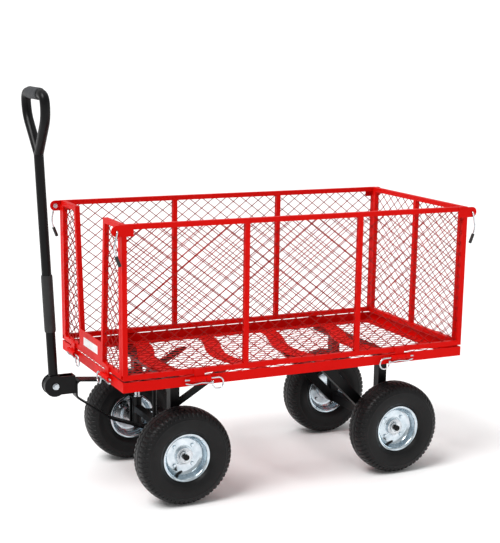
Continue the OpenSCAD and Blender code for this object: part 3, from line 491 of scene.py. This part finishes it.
def mesh_wires(low, high, edges, wide, tall, size):
    """Straight wires of a diamond mesh in a flat field. Two families slope up and down by tall over wide. Each
    wire is cut where it meets the field's bottom, top and slanting side edges, given as (u at bottom, u at top)."""
    height = high - low
    (l0, l1), (r0, r1) = edges
    grids = []
    for s in (1, -1):
        first = int(np.floor((min(l0, l1) - height / tall * wide) / wide)) - 1
        last = int(np.ceil((max(r0, r1) + height / tall * wide) / wide)) + 1
        start = np.arange(first, last + 1) * wide
        # u = start + s * v * wide / tall; v where it meets a side edge u = e0 + (e1 - e0) * v / height
        slope = s * wide / tall
        v0 = np.zeros_like(start, float)
        v1 = np.full_like(start, height, float)
        for (e0, e1), keep_above in (((l0, l1), True), ((r0, r1), False)):
            rate = slope - (e1 - e0) / height
            cross = (e0 - start) / rate
            inside_after = (rate > 0) == keep_above
            v0 = np.where(inside_after, np.maximum(v0, cross), v0)
            v1 = np.where(inside_after, v1, np.minimum(v1, cross))
        use = v1 - v0 > 4
        a, b, u0 = v0[use], v1[use], start[use]
        for va, vb, u in zip(a, b, u0):
            grids.append((u + slope * va, low + va, u + slope * vb, low + vb, s * size * 0.42))
    return grids


def bar(p, q, radius, sides=6):
    """A straight round bar from p to q with flat ends."""
    p, q = np.array(p, float), np.array(q, float)
    along = (q - p) / np.linalg.norm(q - p)
    side = np.cross(along, [0.3, 0.5, 0.81])
    side /= np.linalg.norm(side)
    other = np.cross(along, side)
    angle = np.linspace(0, 2 * np.pi, sides, endpoint=False)[:, None]
    ring = radius * (np.cos(angle) * side + np.sin(angle) * other)
    tips = [np.repeat(end[None], sides, 0) for end in (p, q)]
    return np.stack([tips[0], p + ring, q + ring, tips[1]]), False, True


class CART_OT_panel_mesh(bpy.types.Operator):
    """Makes the side panels' diamond mesh from two layers of sloping wires"""

    bl_idname = "cart.panel_mesh"
    bl_label = "Panel mesh"

    def execute(self, context):
        opts = context.scene.cart_wires
        size, wide, tall = opts.mesh_wire / MM, opts.diamond_width / MM, opts.diamond_height / MM
        for name in SIDES:
            low, high = node_box("mesh_" + name)
            mid = (low + high) / 2
            across = 0 if name in ("left", "right") else 1
            depth_axis = 1 - across
            reach = (high[across] - low[across]) / 2
            if name == "front":
                notch_top, notch_low = 112, 80
                fields = [((-reach, -reach), (-notch_low, -notch_top)), ((notch_low, notch_top), (reach, reach))]
            else:
                fields = [((-reach, -reach), (reach, reach))]
            grids = []
            for edges in fields:
                for u0, z0, u1, z1, lift in mesh_wires(low[2], high[2], edges, wide, tall, size):
                    p, q = np.zeros(3), np.zeros(3)
                    p[across], q[across] = mid[across] + u0, mid[across] + u1
                    p[depth_axis] = q[depth_axis] = mid[depth_axis] + lift
                    p[2], q[2] = z0, z1
                    grids.append(bar(p, q, size / 2))
            piece("wire_mesh_" + name, grids, material("red_dipped_wire"), "fold_" + name,
                  ["mesh_" + name])
        return {"FINISHED"}


def clip_wire():
    """One hinge clip as a flat path (along the hinge line, down): a straight leg, a loop and a wavy leg."""
    loop = 15.0
    leg = 35.0
    angle = np.radians(np.linspace(90, -206, 34))
    ring = np.stack([leg + loop + loop * np.cos(angle), -loop + loop * np.sin(angle)], -1)
    wavy = rounded([ring[-1], (leg - 7, -13.2), (6, -9.6), (-leg + 12, -13.6), (-leg - 4, -8.8)], 9)[1:]
    return np.vstack([[(-leg - 6, 0)], ring, wavy])


class CART_OT_deck(bpy.types.Operator):
    """Makes the deck's expanded mesh from thin sloping strands, in three sheets"""

    bl_idname = "cart.deck"
    bl_label = "Deck mesh"

    def execute(self, context):
        opts = context.scene.cart_wires
        size = opts.deck_strand / MM
        low, high = node_box("deck_mesh")
        mid = (low + high) / 2
        third = (high[0] - low[0] + 1) / 3
        reach = third / 2 - 0.5
        grids = []
        for k in (-1, 0, 1):
            edges = ((-reach, -reach), (reach, reach))
            wires = mesh_wires(low[1], high[1], edges, opts.deck_long / MM, opts.deck_short / MM, 0)
            for u0, y0, u1, y1, lift in wires:
                x = mid[0] + k * third
                grids.append(bar((x + u0, y0, mid[2]), (x + u1, y1, mid[2]), size / 2, 5))
        piece("deck_strands", grids, material("red_dipped_deck"), "root", ["deck_mesh"])
        return {"FINISHED"}


class CART_OT_hinge_clips(bpy.types.Operator):
    """Makes the eight spring hairpins that hold the panel hinges together"""

    bl_idname = "cart.hinge_clips"
    bl_label = "Hinge clips"

    def execute(self, context):
        base_low, base_high = node_box("base_frame")
        mid = (base_low + base_high) / 2
        hinge_z = base_high[2] - HINGE_DOWN
        path = clip_wire()
        grids = []
        for x_side in (-1, 1):
            for y_side in (-1, 1):
                x = mid[0] + x_side * (mid[0] - base_low[0] - SIDE_HINGE_IN) - x_side * path[:, 0]
                y = np.full(len(path), mid[1] + y_side * (base_high[1] - mid[1] + HINGE_OUT))
                line = np.stack([x, y, hinge_z + path[:, 1]], -1)
                grids.append(sweep(line, CLIP_RADIUS, (0, 1, 0), 14, round_ends=1.5))
                y = mid[1] + y_side * END_HINGE_OFF - y_side * path[:, 0]
                x = np.full(len(path), mid[0] + x_side * (base_high[0] - mid[0] + HINGE_OUT))
                line = np.stack([x, y, hinge_z + path[:, 1]], -1)
                grids.append(sweep(line, CLIP_RADIUS, (1, 0, 0), 14, round_ends=1.5))
        piece("spring_clips", grids, material("bright_zinc"), "root", ["hinge_clips"])
        return {"FINISHED"}


class CART_OT_latch_hooks(bpy.types.Operator):
    """Makes the four wire latch hooks and their vinyl sleeves"""

    bl_idname = "cart.latch_hooks"
    bl_label = "Latch hooks"

    def execute(self, context):
        for name in WHEELS:
            low, high = node_box("hook_" + name)
            x_side = -1 if name.startswith("front") else 1
            y_side = -1 if name.endswith("left") else 1
            eye = middle("hook_washer_" + name)
            face = high[1] - 4.5 if y_side > 0 else low[1] + 4.5
            inner = low[1] if y_side > 0 else high[1]
            # along x_side, out of the ear and down: a leg through the ear, a bend and the hanging wire
            bends = [(0, inner, 0), (0, face, 0), (5, face, -22), (8, face, -36), (8, face, -48), (4, face, -61)]
            leg = rounded(bends, 5)
            path = eye * [1, 0, 1] + leg * [x_side, 1, 1]
            grids = [bent_bar(path, HOOK_RADIUS, 14)]
            piece("hook_wire_" + name, grids, material("bright_zinc"), "latch_" + name, ["hook_" + name])
            t = np.linspace(0.0, 1.0, 10)[:, None]
            sleeve = np.array([(4.0, -61.0)]) * (1 - t) + np.array([(-5.2, -85.0)]) * t
            path = np.stack([eye[0] + x_side * sleeve[:, 0], np.full(10, face), eye[2] + sleeve[:, 1]], -1)
            grids = [sweep(path, HOOK_SLEEVE_RADIUS, (0, 1, 0), 20, round_ends=1.2)]
            piece("hook_sleeve_" + name, grids, material("dipped_vinyl"), "latch_" + name)
        return {"FINISHED"}


class CART_OT_handle(bpy.types.Operator):
    """Makes the handle's bent tube, the loop, its foam grip and the vinyl sleeve"""

    bl_idname = "cart.handle"
    bl_label = "Handle"

    def execute(self, context):
        opts = context.scene.cart_wires
        lean = np.radians(HANDLE_LEAN)
        pivot = middle("pivot_bolt")
        up = np.array([-np.sin(lean), 0, np.cos(lean)])
        ahead = np.array([np.cos(lean), 0, np.sin(lean)])
        right = np.array([0.0, 1.0, 0.0])
        tube = opts.handle_tube / 2 / MM

        def place(points):
            points = np.array(points, float)
            return pivot + points[:, :1] * right + points[:, 1:] * up

        top = HANDLE_REACH
        loop = [(0, 604), (83, 702), (83, top), (-83, top), (-83, 702), (0, 604)]
        ring = rounded(loop, 33, 11)
        grids = [
            sweep(place([(0, 30), (0, 330), (0, 612)]), tube, right, 28, round_ends=1),
            sweep(place(ring[:-1]), tube, ahead, 24, closed=True),
        ]
        piece("handle_bar", grids, material("black_powder_coat"), "handle", ["handle_tube"], sharp=50)
        y = np.linspace(-46, 46, 40)
        swell = 15.5 - 1.4 * np.clip((np.abs(y) - 41) / 5, 0, 1) ** 2 - 0.3 * np.cos(y / 46 * np.pi / 2) ** 2
        line = place(np.stack([y, np.full_like(y, top)], -1))
        piece("foam_handgrip", [sweep(line, swell, ahead, 32, round_ends=1.5)], material("closed_cell_foam"), "handle",
              ["handle_grip"])
        s = np.linspace(145, 295, 30)
        girth = 15 - 0.8 * np.clip((np.abs(s - 220) - 70) / 5, 0, 1) ** 2
        line = place(np.stack([np.zeros_like(s), s], -1))
        piece("handle_cover", [sweep(line, girth, right, 32, round_ends=1.0)], material("dipped_vinyl"), "handle",
              ["handle_sleeve"])
        return {"FINISHED"}


class CART_OT_stage(bpy.types.Operator):
    """Makes the floor, the soft lights and the camera"""

    bl_idname = "cart.stage"
    bl_label = "Stage"

    def execute(self, context):
        opts = context.scene.cart_stage
        scene = context.scene
        mid = (node_box("base_frame")[0] + node_box("base_frame")[1]) / 2 * MM
        # floor: a flat grid of points in metres, all at height nought
        reach = np.linspace(-FLOOR_REACH, FLOOR_REACH, FLOOR_STEPS)
        x, y = np.meshgrid(reach, reach, indexing="ij")
        points = np.stack([x, y, np.zeros_like(x)], -1).reshape(-1, 3)
        mesh = bpy.data.meshes.new("floor")
        faces = quads(FLOOR_STEPS, FLOOR_STEPS, False, False)
        mesh.from_pydata(points.tolist(), [], faces.tolist())
        mesh.materials.append(studio_floor())
        mesh.polygons.foreach_set("use_smooth", np.ones(len(mesh.polygons), bool))
        floor = bpy.data.objects.new("floor", mesh)
        scene.collection.objects.link(floor)

        scene.view_settings.view_transform = "Standard"
        world = bpy.data.worlds.new("studio")
        world.use_nodes = True
        scene.world = world
        # the camera meets a white backdrop, and the cart a dimmer room, which lets the floor keep its shadows
        tree = world.node_tree
        room = tree.nodes["Background"]
        room.inputs["Color"].default_value = [*opts.sky, 1.0]
        room.inputs["Strength"].default_value = opts.room
        backdrop = add_node(tree, "ShaderNodeBackground", inputs={"Color": [*opts.sky, 1.0], "Strength": 1.1})
        rays = add_node(tree, "ShaderNodeLightPath")
        both = add_node(tree, "ShaderNodeMixShader", inputs={"Fac": rays.outputs["Is Camera Ray"]})
        tree.links.new(room.outputs["Background"], both.inputs[1])
        tree.links.new(backdrop.outputs["Background"], both.inputs[2])
        tree.links.new(both.outputs["Shader"], tree.nodes["World Output"].inputs["Surface"])

        def soft_light(name, at, size, power, aim=(0, 0, 0.4)):
            lamp = bpy.data.lights.new(name, "AREA")
            lamp.shape = "RECTANGLE"
            lamp.size, lamp.size_y = size
            lamp.energy = power
            made = bpy.data.objects.new(name, lamp)
            made.location = Vector(at)
            made.rotation_euler = (Vector(aim) - Vector(at)).to_track_quat("-Z", "Y").to_euler()
            scene.collection.objects.link(made)

        sun = bpy.data.lights.new("key", "SUN")
        sun.energy = opts.key_power
        sun.angle = np.radians(32)
        key = bpy.data.objects.new("key", sun)
        key.rotation_euler = Vector((0.58, 0.16, -0.9)).to_track_quat("-Z", "Y").to_euler()
        scene.collection.objects.link(key)
        soft_light("top", (0.2, 0.3, 4.2), (3.4, 2.6), opts.fill_power)
        soft_light("side", (2.4, -3.4, 1.6), (2.0, 1.6), opts.fill_power * 0.5)

        lens = bpy.data.cameras.new("camera")
        lens.lens = opts.lens
        lens.sensor_width = 36
        lens.shift_x, lens.shift_y = -0.0215, 0.1157
        lens.clip_start, lens.clip_end = 0.05, 100
        camera = bpy.data.objects.new("camera", lens)
        scene.collection.objects.link(camera)
        scene.camera = camera
        azimuth, elevation, roll = np.radians([-26.23, 13.29, 0.92])
        back = np.array([np.sin(azimuth) * np.cos(elevation), -np.cos(azimuth) * np.cos(elevation), np.sin(elevation)])
        right = np.array([np.cos(azimuth), np.sin(azimuth), 0])
        up = np.cross(back, right)
        c, s = np.cos(roll), np.sin(roll)
        turned = np.column_stack([c * right + s * up, -s * right + c * up, back])
        spot = np.array([mid[0], mid[1], 0.3807]) + 3.572 * back
        place = np.eye(4)
        place[:3, :3], place[:3, 3] = turned, spot
        camera.matrix_world = Matrix(place.tolist())
        return {"FINISHED"}


class CART_PT_panel(bpy.types.Panel):
    """The cart's sizes and pieces"""

    bl_label = "Garden cart"
    bl_idname = "CART_PT_panel"
    bl_space_type = "VIEW_3D"
    bl_region_type = "UI"
    bl_category = "Cart"

    def draw(self, context):
        for group in (context.scene.cart_wheels, context.scene.cart_wires, context.scene.cart_stage):
            box = self.layout.box()
            for name in group.__annotations__:
                box.prop(group, name)
        for operator in OPERATORS:
            self.layout.operator(operator.bl_idname)


SETTINGS = {"cart_wheels": CartWheelSettings, "cart_wires": CartWireSettings, "cart_stage": CartStageSettings}
OPERATORS = (
    CART_OT_finishes,
    CART_OT_tyres,
    CART_OT_rims,
    CART_OT_panel_mesh,
    CART_OT_deck,
    CART_OT_hinge_clips,
    CART_OT_latch_hooks,
    CART_OT_handle,
    CART_OT_stage,
)


def register():
    for kind in (*SETTINGS.values(), *OPERATORS, CART_PT_panel):
        bpy.utils.register_class(kind)
    for name, kind in SETTINGS.items():
        setattr(bpy.types.Scene, name, PointerProperty(type=kind))


def unregister():
    for name in SETTINGS:
        delattr(bpy.types.Scene, name)
    for kind in reversed((*SETTINGS.values(), *OPERATORS, CART_PT_panel)):
        bpy.utils.unregister_class(kind)


def main():
    register()
    for operator in OPERATORS:
        group, name = operator.bl_idname.split(".")
        getattr(getattr(bpy.ops, group), name)()


if __name__ == "__main__":
    main()
